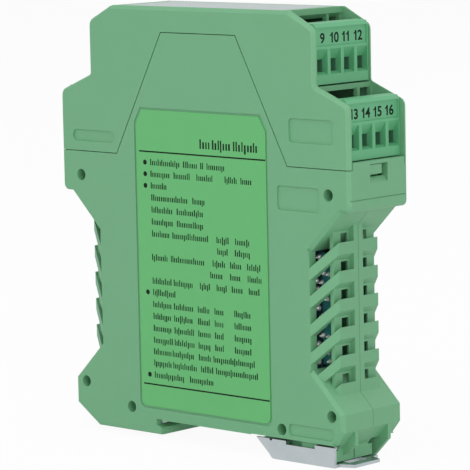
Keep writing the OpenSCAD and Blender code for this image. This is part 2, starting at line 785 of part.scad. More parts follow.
// Flat bars from the cages through the block to the board, each to its own column
module current_bars() {
  color("#D9C68C") for (k = [0:poles - 1]) {
    y = (k - (poles - 1) / 2) * pole_pitch;
    reach = -bar_reach - k * bar_step;
    box(reach, rear_wall + cage_d, y - bar_w / 2, y + bar_w / 2, bar_z, bar_z + bar_t);
    box(reach - pin_w, reach + eps, min(board_y - pin_proud, y - bar_w / 2),
      max(board_back + pin_proud, y + bar_w / 2), bar_z, bar_z + bar_t);
  }
}

// Board outline: wide at the waist and the lower tier, narrow between the upper bays
board_edge = 0.8;
board_drop = 8;
board_cut = 4;
board_sink = 1.5;
board_side = louvre_in - 0.9;
board_mid = lower_front_x - block_d - hood_web - board_edge;
board_top = upper_front_x - block_d - hood_web - 0.6;
board_neck = waist_hl - board_edge;
board_rim = waist_top_z + slant_wall;
board_low = foot_top - board_sink;
board_step = step_z - hood_web - board_sink;
board_right = [
  [board_neck - board_cut, board_low], [board_neck, board_low + board_cut],
  [board_neck, waist_low_z + board_edge], [board_side, waist_low_z + board_edge],
  [board_side, waist_top_z - board_edge], [board_neck, waist_top_z - board_edge],
  [board_neck, board_rim], [board_mid, board_rim + board_mid - board_neck],
  [board_mid, board_step], [board_top, board_step], [board_top, housing_h - board_drop]
];

module circuit_board() {
  color("#1F6E62") difference() {
    slab(board_y, board_back, concat(board_right, mirrored(board_right)));
    for (upper = [true, false], left = [true, false]) at_bay(upper, left)
      for (k = [0:poles - 1]) {
        x = -bar_reach - k * bar_step;
        y1 = (k - (poles - 1) / 2) * pole_pitch + bar_w / 2 + pin_gap;
        box(x - pin_w - pin_gap, x + pin_gap, -half_w, 0, bar_z - pin_gap, bar_z + bar_t + pin_gap);
        box(x, 0, y1 - bar_w - 2 * pin_gap, y1, bar_z - pin_gap, bar_z + bar_t + pin_gap);
      }
  }
}

// Transformer on the board: core legs along Z round a winding
core_rise = 6.55;
core_z0 = (waist_low_z + waist_top_z - core_l) / 2 + core_rise;
core_z1 = core_z0 + core_l;
core_leg = core_l * 2 / 9;
coil_gap = 0.25;
coil_grow = 2;
coil_seat = board_back + 2.5;
coil_flange = 1.2;
coil_room = 0.95;
core_w = half_w - wall - coil_room - coil_grow - coil_seat;

module transformer_core() {
  y1 = coil_seat + core_w;
  win = (core_l - 2 * core_leg - core_leg) / 2;
  color("#3A3A3E") difference() {
    box(-core_l / 2, core_l / 2, coil_seat, y1, core_z0, core_z1);
    for (s = [-1, 1]) translate([s * (core_leg / 2 + win / 2), 0, 0])
      box(-win / 2, win / 2, coil_seat - 1, y1 + 1, core_z0 + core_leg, core_z1 - core_leg);
  }
}

module transformer_winding() {
  win = (core_l - 2 * core_leg - core_leg) / 2 - coil_gap;
  y1 = coil_seat + core_w + coil_grow;
  color("#D8B23C") difference() {
    union() {
      box(-core_leg / 2 - win + 0.2, core_leg / 2 + win - 0.2, coil_seat - coil_grow, y1,
        core_z0 + core_leg + coil_flange, core_z1 - core_leg - coil_flange);
      for (z = [core_z0 + core_leg + coil_gap, core_z1 - core_leg - coil_flange - coil_gap])
        box(-core_leg / 2 - win, core_leg / 2 + win, board_back, y1, z, z + coil_flange);
    }
    box(-core_leg / 2 - coil_gap, core_leg / 2 + coil_gap,
      coil_seat - coil_gap, coil_seat + core_w + coil_gap, core_z0, core_z1);
  }
}

// Two pieces on each side of the middle, the first at x, the next a pitch further out, at height z
module board_pair(x, pitch, z) {
  for (s = [-1, 1], k = [0, 1]) translate([s * (x + k * pitch), board_back, z]) children();
}

cap_room = 2.35;
cap_rise = 4.3;
cap_spread = 2;
cap_h = half_w - wall - board_back - cap_room;
cap_bead = 2;
cap_neck = 1;
cap_groove = 0.4;

module capacitors() {
  color("#2B3A55") board_pair(2 * cap_d, cap_d + cap_spread, split_z + cap_rise) rotate([-90, 0, 0]) {
    cylinder(d = cap_d, h = cap_h - cap_bead - cap_neck);
    translate([0, 0, cap_h - cap_bead - cap_neck]) cylinder(d = cap_d - 2 * cap_groove, h = cap_neck);
    translate([0, 0, cap_h - cap_bead]) cylinder(d = cap_d, h = cap_bead);
  }
}

opto_h = opto_w * 0.75;
opto_lift = 0.6;
opto_leg = [0.6, 2.2, 0.3];
opto_spread = 3.4;
opto_drop = 7.7;

module optocouplers() {
  color("#F2F2EC") board_pair(opto_w * 1.5, opto_w + opto_spread, split_z - opto_drop) {
    translate([-opto_w / 2, opto_lift, -opto_l / 2]) cube([opto_w, opto_h, opto_l]);
    for (x = [-opto_w, opto_w] / 3.6, s = [-1, 1])
      translate([x - opto_leg[0] / 2, 0, s * (opto_l / 2 + 0.1) - opto_leg[2] / 2]) cube(opto_leg);
  }
}

chip_h = 1.5;
chip_leg = [1, 0.3, 0.4];
chip_legs = 4;
chip_lift = 0.2;
chip_rise = 6.2;

module amplifier_chips() {
  leg_pitch = chip_l / chip_legs;
  color("#26262A") board_pair(chip_w * 5, chip_w * 2.5, waist_low_z + chip_rise) {
    translate([-chip_w / 2, chip_lift, -chip_l / 2]) cube([chip_w, chip_h, chip_l]);
    for (s = [-1, 1], k = [0:chip_legs - 1])
      translate([s * (chip_w + chip_leg[0]) / 2, chip_leg[1] / 2, (k - (chip_legs - 1) / 2) * leg_pitch])
        cube(chip_leg, center = true);
  }
}

module rail_contact_strip() {
  color(metal_grey) box(-throat_x - strip_t, -throat_x, wall - half_w + 0.2, half_w - wall - 0.2,
    seat_h - throat_d + 0.05, floor_z + 2.5);
}

// Side flange of the latch, with the slanted front and the relief notches at the lips
function flange_outline(end_x) = concat(
  [[nose_x, flange_h], [nose_x + lead_run, lead_z]],
  rounded([nose_x + lead_run, lead_z], [nose_x + lead_run + lead_corner, 0], [latch_end_x, 0], 2 * sheet_t),
  [[end_x, 0], [end_x, flange_h]]
);

module foot_latch() {
  y1 = latch_y0 + latch_w;
  color(metal_grey) difference() {
    union() {
      slab(latch_y0, latch_y0 + sheet_t, flange_outline(latch_end_x));
      slab(y1 - sheet_t, y1, flange_outline(far_end_x));
      box(web_x0, latch_end_x, latch_y0, y1, 0, sheet_t);
      translate([latch_end_x, latch_mid, 0]) linear_extrude(sheet_t) polygon([
        [-1, -tab_root / 2], [0, -tab_root / 2], [tab_l, -tab_w / 2],
        [tab_l, tab_w / 2], [0, tab_root / 2], [-1, tab_root / 2]
      ]);
      for (lip = [front_lip, rear_lip])
        box(lip[0], lip[1], latch_y0 + eps, latch_y0 + sheet_t + lip_w, lip_z, flange_h);
      for (lip = [front_lip, [rear_lip[0], far_end_x]])
        box(lip[0], lip[1], y1 - sheet_t - lip_w, y1 - eps, lip_z, flange_h);
      slab(latch_mid - tongue_w / 2, latch_mid + tongue_w / 2, [
        [nose_x - tongue_reach, tongue_z0], [nose_x + 0.9, tongue_z0], [web_x0 - 1.6, 0], [web_x0 + 1, 0],
        [web_x0 + 1, sheet_t], [web_x0 - 1.1, sheet_t], [nose_x + 1.4, tongue_z1],
        [nose_x - tongue_reach, tongue_z1]
      ]);
    }
    box(front_lip[1], rear_lip[0], latch_y0 - 1, latch_y0 + sheet_t + 1, flange_h - 0.9, flange_h + 1);
    rod_y(front_lip[0] - 0.4, flange_h, latch_y0 - 1, latch_y0 + sheet_t + eps, 1);
    translate([latch_end_x, latch_mid, 0])
      box(tab_slot[0], tab_slot[1], -tab_slot[2], tab_slot[2], -1, sheet_t + 1);
  }
}

// Spring wire swept along a helix, with eight sides
spring_x0 = web_x0 - 1.3;
spring_x1 = groove_end - 0.1;
spring_sides = 8;
spring_rings = spring_turns * 10;
spring_r = (spring_d - spring_wire) / 2;

function spring_ring(i) =
  let (a = 360 * spring_turns * i / spring_rings)
  let (x = spring_x0 + spring_wire / 2 + (spring_x1 - spring_x0 - spring_wire) * i / spring_rings)
  [for (j = [0:spring_sides - 1])
    let (b = 360 * j / spring_sides, r = spring_r + spring_wire / 2 * cos(b))
    [x + spring_wire / 2 * sin(b), latch_mid + r * cos(a), spring_z + r * sin(a)]];

module latch_spring() {
  n = spring_sides;
  points = [for (i = [0:spring_rings]) each spring_ring(i)];
  sides = [for (i = [0:spring_rings - 1], j = [0:n - 1])
    [i * n + j, i * n + (j + 1) % n, (i + 1) * n + (j + 1) % n, (i + 1) * n + j]];
  caps = [[for (j = [n - 1:-1:0]) j], [for (j = [0:n - 1]) spring_rings * n + j]];
  color(metal_grey) polyhedron(points, concat(sides, caps));
}

base_shell_near();
base_shell_far();
terminal_hood();
front_cover();
rating_label();
at_bay(true, true) terminal_block();  // terminal_block_1_4
at_bay(false, true) terminal_block();  // terminal_block_5_8
at_bay(true, false) terminal_block();  // terminal_block_9_12
at_bay(false, false) terminal_block();  // terminal_block_13_16
at_bay(true, true) clamp_screws();  // clamp_screws_1_4
at_bay(false, true) clamp_screws();  // clamp_screws_5_8
at_bay(true, false) clamp_screws();  // clamp_screws_9_12
at_bay(false, false) clamp_screws();  // clamp_screws_13_16
at_bay(true, true) cage_clamps();  // cage_clamps_1_4
at_bay(false, true) cage_clamps();  // cage_clamps_5_8
at_bay(true, false) cage_clamps();  // cage_clamps_9_12
at_bay(false, false) cage_clamps();  // cage_clamps_13_16
at_bay(true, true) current_bars();  // current_bars_1_4
at_bay(false, true) current_bars();  // current_bars_5_8
at_bay(true, false) current_bars();  // current_bars_9_12
at_bay(false, false) current_bars();  // current_bars_13_16
circuit_board();
transformer_core();
transformer_winding();
capacitors();
optocouplers();
amplifier_chips();
rail_contact_strip();
foot_latch();
latch_spring();
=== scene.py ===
"""Finishes, printed marks, wire funnels, solder side, return spring and studio of a rail-mounted signal isolator."""

import logging
import math
from dataclasses import dataclass
from enum import Enum
from functools import cached_property
from random import Random
from typing import Sequence

import bmesh
import bpy
from mathutils import Matrix, Vector


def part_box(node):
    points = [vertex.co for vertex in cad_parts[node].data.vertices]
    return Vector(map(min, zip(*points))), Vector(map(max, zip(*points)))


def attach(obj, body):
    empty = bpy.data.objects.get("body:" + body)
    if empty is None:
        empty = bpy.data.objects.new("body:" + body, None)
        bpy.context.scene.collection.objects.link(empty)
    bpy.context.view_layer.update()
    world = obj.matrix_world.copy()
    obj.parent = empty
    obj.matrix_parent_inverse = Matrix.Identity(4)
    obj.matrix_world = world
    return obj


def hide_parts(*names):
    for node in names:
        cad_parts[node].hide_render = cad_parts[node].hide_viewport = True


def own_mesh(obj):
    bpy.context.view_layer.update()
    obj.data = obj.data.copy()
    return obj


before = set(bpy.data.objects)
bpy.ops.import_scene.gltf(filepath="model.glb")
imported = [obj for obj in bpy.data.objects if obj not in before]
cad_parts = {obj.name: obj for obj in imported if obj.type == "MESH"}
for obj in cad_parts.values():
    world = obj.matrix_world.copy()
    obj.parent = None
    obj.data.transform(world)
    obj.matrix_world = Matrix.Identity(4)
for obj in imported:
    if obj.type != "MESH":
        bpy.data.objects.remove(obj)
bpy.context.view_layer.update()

log = logging.getLogger("signal_isolator")

MM = 0.001
HOUSING = "housing"
WHITE = (1.0, 1.0, 1.0, 1.0)
NOISE_MIDDLE = 0.5
CORNER_STEPS = 3
NEARLY_ALONG = 0.9

Tree = bpy.types.ShaderNodeTree
Socket = bpy.types.NodeSocket
Colour = tuple[float, float, float]
Point = tuple[float, float, float]
Pair = tuple[float, float]


class End(Enum):
    """The two ends of the housing, by the sign of X."""

    LATCH = 1
    HOOK = -1


class Skin(Enum):
    """The shared surface effects, each a shader node group."""

    MOULDED = "moulded_skin"
    ROLLED = "rolled_sheet"
    LAMINATE = "laminate_traces_and_shade"


def feed(tree: Tree, place: Socket, value: Socket | float) -> None:
    """Gives an input its value, by a link or as a plain number.

    Args:
        tree: the nodes that it belongs to.
        place: the input.
        value: the socket that it reads, or the number.
    """
    if isinstance(value, Socket):
        tree.links.new(value, place)
    else:
        place.default_value = value


def add_math(tree: Tree, operation: str, *values: Socket | float) -> Socket:
    """Adds a math node.

    Args:
        tree: the nodes that take it.
        operation: what it works out.
        values: its inputs in order.

    Returns:
        The socket with the result.
    """
    node = tree.nodes.new("ShaderNodeMath")
    node.operation = operation
    for place, value in zip(node.inputs, values):
        feed(tree, place, value)
    return node.outputs[0]


@dataclass
class SkinGroups:
    """Builds each shared surface effect once and hands out its node group.

    Scales are in cells to the metre. A noise that has both is its scale and its octaves.
    """

    cloud: Pair = (70.0, 3.0)
    sheen: Pair = (420.0, 2.0)
    grain_octaves: float = 2.0
    streak_octaves: float = 3.0
    streak_squeeze: Point = (0.06, 1.0, 1.0)
    crystal_scale: float = 300.0
    crystal_share: float = 0.35
    plating: Pair = (160.0, 4.0)
    # painted shade on the board: dark within the first reach from the middle along X, its own teal beyond the second,
    # keeping the share below of the teal where dark
    margin: Pair = (35.8 * MM, 36.3 * MM)
    plane_share: float = 0.12
    track_scale: float = 320.0
    track_edge: Pair = (0.10, 0.16)
    track_share: float = 0.7
    weave: Pair = (1500.0, 2.0)

    def __post_init__(self) -> None:
        """Starts with no group built."""
        self._built: dict[Skin, Tree] = {}

    def get(self, skin: Skin) -> Tree:
        """Gives a group, building it on first use.

        Args:
            skin: which effect is wanted.

        Returns:
            The node group.
        """
        if skin not in self._built:
            makers = {Skin.MOULDED: self._moulded, Skin.ROLLED: self._rolled, Skin.LAMINATE: self._laminate}
            self._built[skin] = makers[skin](self._frame_of(skin))
        return self._built[skin]

    @staticmethod
    def _frame_of(skin: Skin) -> Tree:
        """Makes the empty group with the sockets that all effects share.

        Args:
            skin: which effect the group is for.

        Returns:
            The group with its input and output nodes.
        """
        tree = bpy.data.node_groups.new(skin.value, "ShaderNodeTree")
        face = tree.interface
        face.new_socket("Vector", in_out="INPUT", socket_type="NodeSocketVector")
        for name in ("Colour", "Second colour"):
            face.new_socket(name, in_out="INPUT", socket_type="NodeSocketColor")
        for name in ("Roughness", "Roughness spread", "Grain scale"):
            face.new_socket(name, in_out="INPUT", socket_type="NodeSocketFloat")
        face.new_socket("Colour", in_out="OUTPUT", socket_type="NodeSocketColor")
        for name in ("Roughness", "Height"):
            face.new_socket(name, in_out="OUTPUT", socket_type="NodeSocketFloat")
        tree.nodes.new("NodeGroupInput").name = "in"
        tree.nodes.new("NodeGroupOutput").name = "out"
        return tree

    @staticmethod
    def _noise(tree: Tree, scale: Socket | float, octaves: float, place: Socket | None = None) -> Socket:
        """Adds a noise.

        Args:
            tree: the group.
            scale: cells to the metre.
            octaves: how many sizes of cell it adds up.
            place: where it is read, the group's own vector if left out.

        Returns:
            The socket with the noise value.
        """
        node = tree.nodes.new("ShaderNodeTexNoise")
        feed(tree, node.inputs["Scale"], scale)
        node.inputs["Detail"].default_value = octaves
        tree.links.new(place or tree.nodes["in"].outputs["Vector"], node.inputs["Vector"])
        return node.outputs["Fac"]

    @staticmethod
    def _cells(tree: Tree, scale: float, feature: str) -> Socket:
        """Adds a pattern of cells.

        Args:
            tree: the group.
            scale: cells to the metre.
            feature: what is measured in a cell.

        Returns:
            The socket with the distance.
        """
        node = tree.nodes.new("ShaderNodeTexVoronoi")
        node.feature = feature
        node.inputs["Scale"].default_value = scale
        tree.links.new(tree.nodes["in"].outputs["Vector"], node.inputs["Vector"])
        return node.outputs["Distance"]

    @staticmethod
    def _ramp(tree: Tree, value: Socket, span: Pair, foot: float) -> Socket:
        """Adds a ramp that rises to 1.

        Args:
            tree: the group.
            value: what it reads.
            span: the values between which it rises.
            foot: the result below the span.

        Returns:
            The socket with the result.
        """
        node = tree.nodes.new("ShaderNodeMapRange")
        node.inputs["From Min"].default_value, node.inputs["From Max"].default_value = span
        node.inputs["To Min"].default_value = foot
        tree.links.new(value, node.inputs["Value"])
        return node.outputs["Result"]

    @staticmethod
    def _finish(tree: Tree, factor: Socket, rough: Socket, height: Socket) -> Tree:
        """Joins an effect's results to the group's outputs.

        Args:
            tree: the group.
            factor: share of the second colour.
            rough: noise for the roughness.
            height: value for the bump.

        Returns:
            The finished group.
        """
        source, out = tree.nodes["in"].outputs, tree.nodes["out"].inputs
        mix = tree.nodes.new("ShaderNodeMix")
        mix.data_type = "RGBA"
        tree.links.new(factor, mix.inputs["Factor"])
        tree.links.new(source["Colour"], mix.inputs["A"])
        tree.links.new(source["Second colour"], mix.inputs["B"])
        tree.links.new(mix.outputs["Result"], out["Colour"])
        centred = add_math(tree, "SUBTRACT", rough, NOISE_MIDDLE)
        spread = add_math(tree, "MULTIPLY_ADD", centred, source["Roughness spread"], source["Roughness"])
        tree.links.new(spread, out["Roughness"])
        tree.links.new(height, out["Height"])
        return tree

    def _moulded(self, tree: Tree) -> Tree:
        """Makes moulded plastic: a fine eroded grain over slow changes of tone.

        Args:
            tree: the empty group.

        Returns:
            The finished group.
        """
        grain = self._noise(tree, tree.nodes["in"].outputs["Grain scale"], self.grain_octaves)
        return self._finish(tree, self._noise(tree, *self.cloud), self._noise(tree, *self.sheen), grain)

    def _rolled(self, tree: Tree) -> Tree:
        """Makes rolled and plated sheet: long streaks along X over zinc crystals.

        Args:
            tree: the empty group.

        Returns:
            The finished group.
        """
        source = tree.nodes["in"].outputs
        squeeze = tree.nodes.new("ShaderNodeMapping")
        squeeze.inputs["Scale"].default_value = self.streak_squeeze
        tree.links.new(source["Vector"], squeeze.inputs["Vector"])
        streak = self._noise(tree, source["Grain scale"], self.streak_octaves, squeeze.outputs["Vector"])
        crystal = self._cells(tree, self.crystal_scale, "F1")
        tone = add_math(tree, "MULTIPLY_ADD", crystal, self.crystal_share, self._noise(tree, *self.plating))
        return self._finish(tree, tone, streak, streak)

    def _laminate(self, tree: Tree) -> Tree:
        """Makes lacquered laminate with clear tracks, dark with painted shade except near both ends along X, where it
        shows its own teal.

        Args:
            tree: the empty group.

        Returns:
            The finished group.
        """
        place = tree.nodes.new("ShaderNodeSeparateXYZ")
        tree.links.new(tree.nodes["in"].outputs["Vector"], place.inputs["Vector"])
        # painted shade: the board goes dark towards the middle along X
        reach = add_math(tree, "ABSOLUTE", place.outputs["X"])
        unshaded = self._ramp(tree, reach, self.margin, self.plane_share)
        edge = self._cells(tree, self.track_scale, "DISTANCE_TO_EDGE")
        tracks = self._ramp(tree, edge, self.track_edge, self.track_share)
        clear = add_math(tree, "MULTIPLY", unshaded, tracks)
        return self._finish(tree, clear, self._noise(tree, *self.weave), tracks)


GROUPS = SkinGroups()
MATERIALS: dict[str, bpy.types.Material] = {}


@dataclass(frozen=True)
class Finish:
    """One finish: its shared effect and the values that make it this material.

    Colours are linear; grain is in cells to the metre and depth in metres.
    """

    name: str
    skin: Skin
    colour: Colour
    second: Colour
    roughness: float = 0.5
    roughness_spread: float = 0.15
    grain: float = 2500.0
    depth: float = 0.00001
    metallic: float = 0.0
    specular: float = 0.5

    def material(self) -> bpy.types.Material:
        """Gives the material, building it on first use.

        Returns:
            The material.
        """
        if self.name in MATERIALS:
            return MATERIALS[self.name]
        mat = bpy.data.materials.new(self.name)
        MATERIALS[self.name] = mat
        mat.use_nodes = True
        tree = mat.node_tree
        shader = tree.nodes["Principled BSDF"]
        place = tree.nodes.new("ShaderNodeTexCoord")
        group = tree.nodes.new("ShaderNodeGroup")
        group.node_tree = GROUPS.get(self.skin)
        group.inputs["Colour"].default_value = (*self.colour, 1.0)
        group.inputs["Second colour"].default_value = (*self.second, 1.0)
        group.inputs["Roughness"].default_value = self.roughness
        group.inputs["Roughness spread"].default_value = self.roughness_spread
        group.inputs["Grain scale"].default_value = self.grain
        bump = tree.nodes.new("ShaderNodeBump")
        bump.inputs["Strength"].default_value = 1.0
        bump.inputs["Distance"].default_value = self.depth
        shader.inputs["Metallic"].default_value = self.metallic
        shader.inputs["Specular IOR Level"].default_value = self.specular
        tree.links.new(place.outputs["Object"], group.inputs["Vector"])
        tree.links.new(group.outputs["Colour"], shader.inputs["Base Color"])
        tree.links.new(group.outputs["Roughness"], shader.inputs["Roughness"])
        tree.links.new(group.outputs["Height"], bump.inputs["Height"])
        tree.links.new(bump.outputs["Normal"], shader.inputs["Normal"])
        return mat


HOUSING_GREEN = Finish("housing_green", Skin.MOULDED, (0.153, 0.402, 0.211), (0.163, 0.418, 0.222), roughness=0.52)
BLOCK_GREEN = Finish("block_green", Skin.MOULDED, (0.118, 0.425, 0.207), (0.126, 0.440, 0.217), roughness=0.45)
SEAM_SHADE = Finish("seam_shade", Skin.MOULDED, (0.050, 0.150, 0.080), (0.060, 0.170, 0.090), roughness=0.6)
COVER_GREY = Finish("cover_grey", Skin.MOULDED, (0.500, 0.560, 0.560), (0.535, 0.592, 0.592), roughness=0.55,
                    specular=0.3)
LABEL_FILM = Finish("label_film", Skin.MOULDED, (0.116, 0.468, 0.154), (0.127, 0.486, 0.166), roughness=0.48,
                    grain=5000.0, depth=0.000004)
PRINT_INK = Finish("print_ink", Skin.MOULDED, (0.005, 0.012, 0.008), (0.008, 0.018, 0.012), roughness=0.5,
                   grain=6000.0, depth=0.000003, specular=0.1)
LINE_INK = Finish("line_ink", Skin.MOULDED, (0.006, 0.022, 0.010), (0.010, 0.032, 0.015), roughness=0.5,
                  grain=6000.0, depth=0.000003, specular=0.1)
PLATED_STEEL = Finish("plated_steel", Skin.ROLLED, (0.425, 0.477, 0.495), (0.508, 0.553, 0.569), roughness=0.40,
                      roughness_spread=0.2, depth=0.000004, metallic=1.0)
SPRING_STEEL = Finish("spring_steel", Skin.ROLLED, (0.350, 0.360, 0.370), (0.450, 0.460, 0.470), roughness=0.3,
                      depth=0.000002, metallic=1.0)
TINNED_BRASS = Finish("tinned_brass", Skin.ROLLED, (0.640, 0.560, 0.340), (0.720, 0.660, 0.470), roughness=0.35,
                      depth=0.000003, metallic=1.0)
# painted shade: the dark green of the sheets in each wire hole stands in for the shade there; they are not metallic
HOLE_SHADE_PAINT = Finish("hole_shade_paint", Skin.ROLLED, (0.050, 0.165, 0.092), (0.066, 0.200, 0.112), roughness=0.5,
                     depth=0.000003)
# the first colour is painted shade on the board's middle, the second its own teal
BOARD_TEAL_AND_SHADE = Finish("board_teal_and_shade", Skin.LAMINATE, (0.012, 0.028, 0.036), (0.036, 0.230, 0.232), roughness=0.35,
                    depth=0.00002)
SOLDER = Finish("solder", Skin.ROLLED, (0.840, 0.835, 0.830), (0.900, 0.895, 0.890), roughness=0.28, metallic=0.45,
                depth=0.000004)
FERRITE = Finish("ferrite", Skin.MOULDED, (0.030, 0.030, 0.034), (0.045, 0.045, 0.050), roughness=0.7, depth=0.00003)
WINDING_TAPE = Finish("winding_tape", Skin.MOULDED, (0.560, 0.350, 0.040), (0.640, 0.420, 0.060), roughness=0.4)
CAPACITOR_SLEEVE = Finish("capacitor_sleeve", Skin.MOULDED, (0.016, 0.030, 0.075), (0.022, 0.038, 0.090),
                          roughness=0.3)
PALE_CASE = Finish("pale_case", Skin.MOULDED, (0.780, 0.780, 0.730), (0.820, 0.820, 0.780), roughness=0.5)
DARK_CASE = Finish("dark_case", Skin.MOULDED, (0.014, 0.014, 0.016), (0.022, 0.022, 0.025), roughness=0.55)


def dress(node: str, finish: Finish) -> None:
    """Gives a node of the frame its finish in every material slot.

    Args:
        node: the node's name.
        finish: what it is made of.
    """
    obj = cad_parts[node]
    mat = finish.material()
    if not obj.material_slots:
        obj.data.materials.append(mat)
    for place in obj.material_slots:
        place.material = mat
    log.info("dressed %s in %s", node, finish.name)


def add_piece(name: str, bm: bmesh.types.BMesh, finish: Finish, smooth: bool = False) -> bpy.types.Object:
    """Turns a bmesh into a piece that rides on the housing.

    Args:
        name: the piece's name.
        bm: its geometry in place, in metres; it is freed.
        finish: what it is made of.
        smooth: whether its faces are shaded smooth.

    Returns:
        The new object.
    """
    mesh = bpy.data.meshes.new(name)
    bm.to_mesh(mesh)
    bm.free()
    for polygon in mesh.polygons:
        polygon.use_smooth = smooth
    mesh.materials.append(finish.material())
    obj = bpy.data.objects.new(name, mesh)
    bpy.context.scene.collection.objects.link(obj)
    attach(obj, HOUSING)
    log.info("made %s, %d faces", name, len(mesh.polygons))
    return obj


def add_bar(bm: bmesh.types.BMesh, low: Point, high: Point, corner: float = 0.0) -> None:
    """Adds a flat bar that faces -Y, with the corners of that face rounded where asked.

    Args:
        bm: the geometry that takes the bar.
        low: lowest corner in metres.
        high: highest corner in metres.
        corner: radius of the corners in metres.
    """
    size = Vector(high) - Vector(low)
    middle = (Vector(high) + Vector(low)) / 2
    made = bmesh.ops.create_cube(bm, size=1.0, matrix=Matrix.Translation(middle) @ Matrix.Diagonal((*size, 1.0)))
    if corner > 0.0:
        across = {e for v in made["verts"] for e in v.link_edges
                  if abs((e.verts[0].co - e.verts[1].co).normalized().y) > NEARLY_ALONG}
        bmesh.ops.bevel(bm, geom=list(across), offset=corner, offset_type="OFFSET", affect="EDGES",
                        segments=CORNER_STEPS, profile=0.5, material=-1)


def add_prism(bm: bmesh.types.BMesh, profile: Sequence[Point], push: Point) -> None:
    """Adds a prism: a flat profile pushed along a straight line.

    Args:
        bm: the geometry that takes the prism.
        profile: corners of the profile in metres.
        push: from the profile to the other end, in metres.
    """
    face = bm.faces.new([bm.verts.new(corner) for corner in profile])
    made = bmesh.ops.extrude_face_region(bm, geom=[face])
    bmesh.ops.translate(bm, verts=[v for v in made["geom"] if isinstance(v, bmesh.types.BMVert)], vec=push)


@dataclass
class Enclosure:
    """The two half shells, the hood and the cover plate.

    The seam's corners are X and Z in mm; its width and depth are in metres.
    """

    shells: Sequence[str] = ("base_shell_near", "base_shell_far", "terminal_hood")
    cover: str = "front_cover"
    seam: Sequence[Pair] = ((46.2, 63.1), (42.5, 59.4), (42.5, 17.5), (46.5, 13.5), (46.5, 9.2))
    seam_width: float = 0.12 * MM
    seam_depth: float = 0.02 * MM

    def build(self) -> None:
        """Dresses the mouldings and draws where the half shells meet."""
        for node in self.shells:
            dress(node, HOUSING_GREEN)
        dress(self.cover, COVER_GREY)
        self.parting_lines()

    def parting_lines(self) -> bpy.types.Object:
        """Draws the fine line between the half shells down both ends, from the body's lip to the foot.

        Returns:
            The lines as one piece.
        """
        bm = bmesh.new()
        for end in End:
            spots = [Vector((end.value * x, 0.0, z)) * MM for x, z in self.seam]
            for a, b in zip(spots, spots[1:]):
                along, across = (b - a).normalized(), Vector((0.0, 1.0, 0.0))
                turn = Matrix((along, across, along.cross(across))).transposed().to_4x4()
                shape = Matrix.Diagonal(((b - a).length, self.seam_width, self.seam_depth, 1.0))
                bmesh.ops.create_cube(bm, size=1.0, matrix=Matrix.Translation((a + b) / 2) @ turn @ shape)
        return add_piece("parting_lines", bm, SEAM_SHADE)


